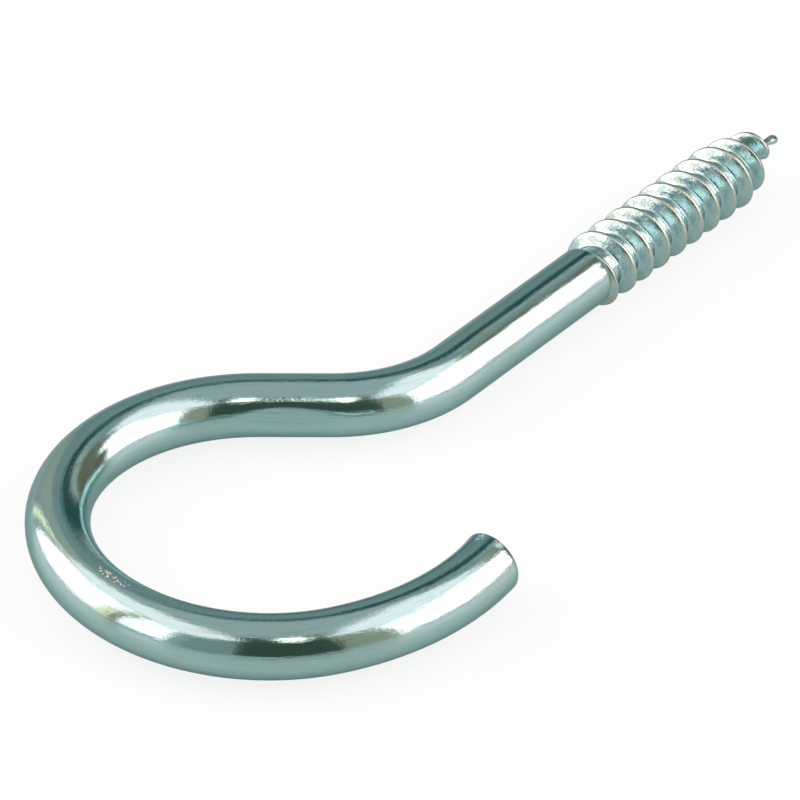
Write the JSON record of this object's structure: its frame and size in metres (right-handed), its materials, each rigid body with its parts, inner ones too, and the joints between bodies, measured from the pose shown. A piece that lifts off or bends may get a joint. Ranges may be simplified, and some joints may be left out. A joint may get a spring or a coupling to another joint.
{
  "type": "screw hook",
  "caption": "Open round hook bent from steel wire, with a coarse wood-screw thread and a plain shank.",
  "frame": {"origin": "on the screw axis, where the plain shank ends and the thread begins", "axes": "+X along the screw axis towards the point, +Z square to the flat plane of the hook, which lies on its side as it would on a table; the hook opens towards +X on the -Y side"},
  "size_m": [0.0954, 0.0403, 0.0064],
  "materials": {
    "zinc_plate": "bright zinc plate on drawn steel wire"
  },
  "bodies": {
    "root": {"screw_hook": "zinc_plate"}
  },
  "joints": []
}
